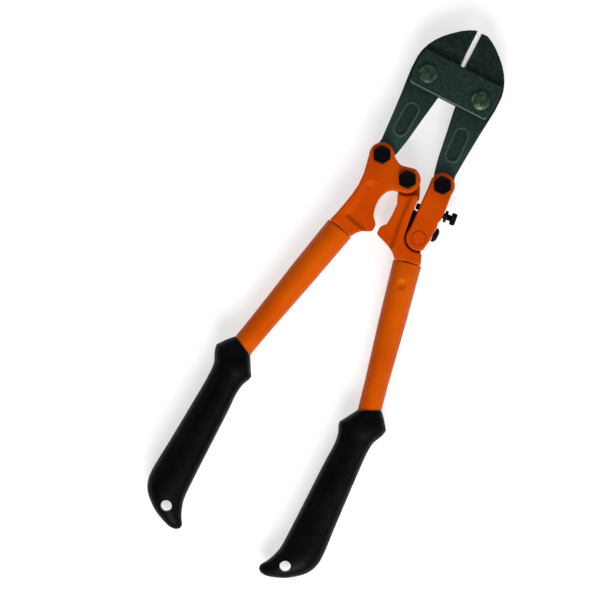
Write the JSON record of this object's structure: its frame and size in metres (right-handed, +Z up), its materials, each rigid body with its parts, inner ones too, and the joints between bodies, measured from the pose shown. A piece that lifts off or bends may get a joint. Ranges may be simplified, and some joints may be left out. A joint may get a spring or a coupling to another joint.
{
  "type": "bolt cutters",
  "caption": "Long-handled bolt cutters with a compound lever linkage, an adjusting link on one side, tubular handles and hooked plastic grips.",
  "frame": {"origin": "middle of the underside of the whole tool's box, on the plane that the grips and nuts lie on", "axes": "+Y along the tool towards the blade tips, +X to the side of the adjusting link, +Z up out of the face with the bolt heads"},
  "size_m": [0.1476, 0.449, 0.0304],
  "materials": {
    "orange_paint": "semi-gloss orange enamel over forged steel and steel tube, slightly worn on edges",
    "jaw_steel": "satin dark grey-green coating over forged tool steel, bare ground edges at the blades",
    "strap_steel": "satin dark grey-green coated plate with a bright chamfer",
    "black_fastener": "black oxide, low sheen",
    "grip_plastic": "fine satin moulded plastic, near black"
  },
  "bodies": {
    "head": {"front_strap": "strap_steel", "back_strap": "strap_steel", "left_strap_bolt": "black_fastener", "left_strap_nut": "black_fastener"},
    "jaw_left": {"left_jaw": "jaw_steel"},
    "handle_left": {"left_handle_head": "orange_paint", "left_tube": "orange_paint", "left_grip": "grip_plastic", "left_jaw_bolt": "black_fastener", "left_jaw_nut": "black_fastener", "centre_bolt": "black_fastener", "centre_nut": "black_fastener"},
    "strap_bolt_right": {"right_strap_bolt": "black_fastener", "right_strap_nut": "black_fastener"},
    "jaw_right": {"right_jaw": "jaw_steel"},
    "jaw_bolt_right": {"right_jaw_bolt": "black_fastener", "right_jaw_nut": "black_fastener"},
    "link": {"adjusting_link": "orange_paint", "adjusting_lock_nut": "black_fastener", "link_clamp_screw": "black_fastener"},
    "screw": {"adjusting_screw": "black_fastener"},
    "handle_right": {"right_handle_head": "orange_paint", "right_tube": "orange_paint", "right_grip": "grip_plastic", "link_pin": "orange_paint"}
  },
  "joints": [
    {"name": "left_jaw_pivot", "type": "hinge", "parent": "head", "child": "jaw_left", "pos_m": [-0.02275, 0.17749, 0.0146], "axis": [0, 0, 1], "range_deg": [-0.5, 6.45]},
    {"name": "left_handle_pivot", "type": "hinge", "parent": "jaw_left", "child": "handle_left", "pos_m": [-0.02615, 0.10569, 0.0146], "axis": [0, 0, 1], "range_deg": [-39.4, 2.86]},
    {"name": "right_strap_bolt_turn", "type": "hinge", "parent": "head", "child": "strap_bolt_right", "pos_m": [0.02275, 0.17749, 0.0146], "axis": [0, 0, 1], "range_deg": [0, 1.24]},
    {"name": "right_jaw_pivot", "type": "hinge", "parent": "strap_bolt_right", "child": "jaw_right", "pos_m": [0.02275, 0.17749, 0.0146], "axis": [0, 0, 1], "range_deg": [-6.45, 0.5]},
    {"name": "right_jaw_bolt_turn", "type": "hinge", "parent": "jaw_right", "child": "jaw_bolt_right", "pos_m": [0.02615, 0.10569, 0.0146], "axis": [0, 0, 1], "range_deg": [-3.25, 0]},
    {"name": "link_pivot", "type": "hinge", "parent": "jaw_bolt_right", "child": "link", "pos_m": [0.02615, 0.10569, 0.0146], "axis": [0, 0, 1], "range_deg": [-2.9, 39.5]},
    {"name": "link_adjust", "type": "hinge", "parent": "link", "child": "handle_right", "pos_m": [0.0283, 0.06149, 0.0146], "axis": [0, 0, 1], "range_deg": [0, 2]},
    {"name": "screw_travel", "type": "slide", "parent": "link", "child": "screw", "axis": [-0.9925, -0.1219, 0], "range_m": [0, 0.00081]}
  ],
  "couplings": [
    {"joint": "left_jaw_pivot", "follows": "left_handle_pivot", "ratio": -0.16248},
    {"joint": "right_jaw_pivot", "follows": "left_handle_pivot", "ratio": 0.16248},
    {"joint": "link_pivot", "follows": "left_handle_pivot", "ratio": -1},
    {"joint": "right_strap_bolt_turn", "follows": "link_adjust", "ratio": 0.6156},
    {"joint": "right_jaw_bolt_turn", "follows": "link_adjust", "ratio": -1.6156},
    {"joint": "screw_travel", "follows": "link_adjust", "m_per_rad": 0.02283}
  ]
}
